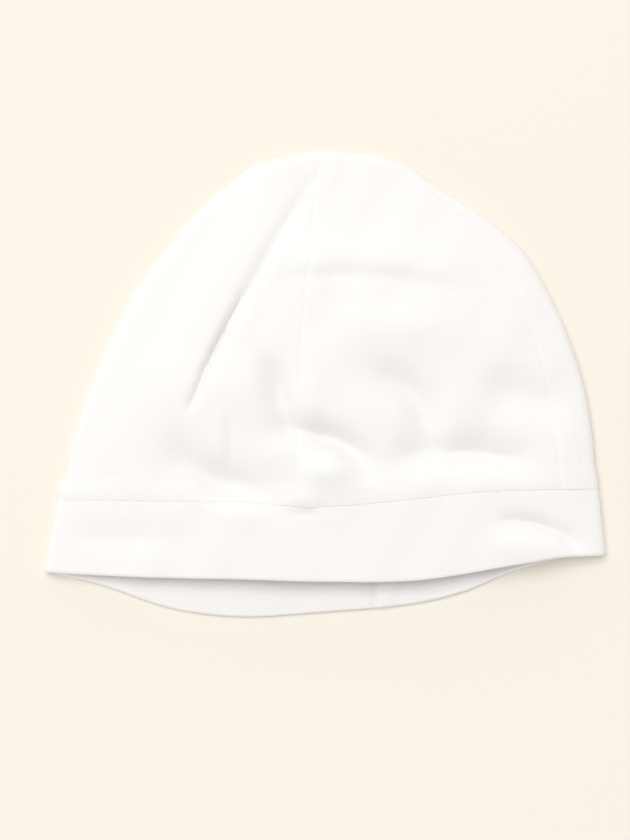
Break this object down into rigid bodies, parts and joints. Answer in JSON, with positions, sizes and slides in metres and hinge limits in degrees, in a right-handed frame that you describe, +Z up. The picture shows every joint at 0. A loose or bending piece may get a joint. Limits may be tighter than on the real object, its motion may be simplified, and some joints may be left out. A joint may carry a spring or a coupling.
{
  "type": "nightcap",
  "caption": "Newborn's soft jersey nightcap with a gored round crown and a folded band, lying flat with its mouth open.",
  "frame": {"origin": "under the middle of the cap's box, on the surface that the cap lies on", "axes": "+X to the right across the cap seen from above, +Y from the mouth to the top of the crown, +Z up off the surface"},
  "size_m": [0.17, 0.141, 0.0139],
  "materials": {
    "jersey": "matt fine cotton jersey, white",
    "band_jersey": "matt fine cotton jersey folded double, white"
  },
  "bodies": {
    "root": {"panel_front_left": "jersey", "panel_front_right": "jersey", "panel_back_right": "jersey", "panel_back_left": "jersey", "band": "band_jersey"}
  },
  "joints": []
}
